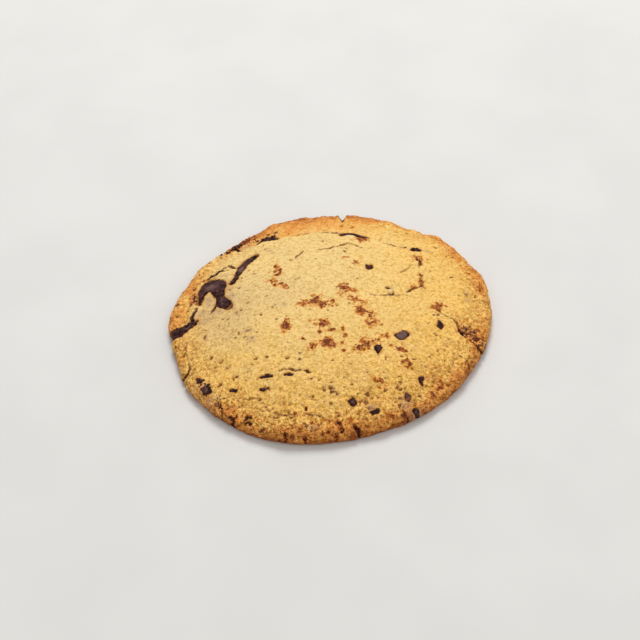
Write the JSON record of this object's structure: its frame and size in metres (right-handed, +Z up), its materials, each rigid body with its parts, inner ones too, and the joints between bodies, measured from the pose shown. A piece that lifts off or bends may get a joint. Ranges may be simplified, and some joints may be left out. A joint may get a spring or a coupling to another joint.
{
  "type": "chocolate chunk cookie",
  "caption": "Round baked cookie: a low golden dome with a browned rim, a cracked crust and dark chocolate pieces set in it.",
  "frame": {"origin": "on the flat base, under the middle of the cookie's plan", "axes": "+Z up through the crust, +X to the right and +Y away from the viewer as it lies in the picture"},
  "size_m": [0.1091, 0.1032, 0.0131],
  "materials": {
    "baked_dough": null,
    "dark_chocolate": null
  },
  "bodies": {
    "root": {"dough": "baked_dough", "chocolate_arch": "dark_chocolate", "chocolate_sliver": "dark_chocolate", "chocolate_left_rim": "dark_chocolate", "chocolate_back_left": "dark_chocolate", "chocolate_back": "dark_chocolate"}
  },
  "joints": []
}
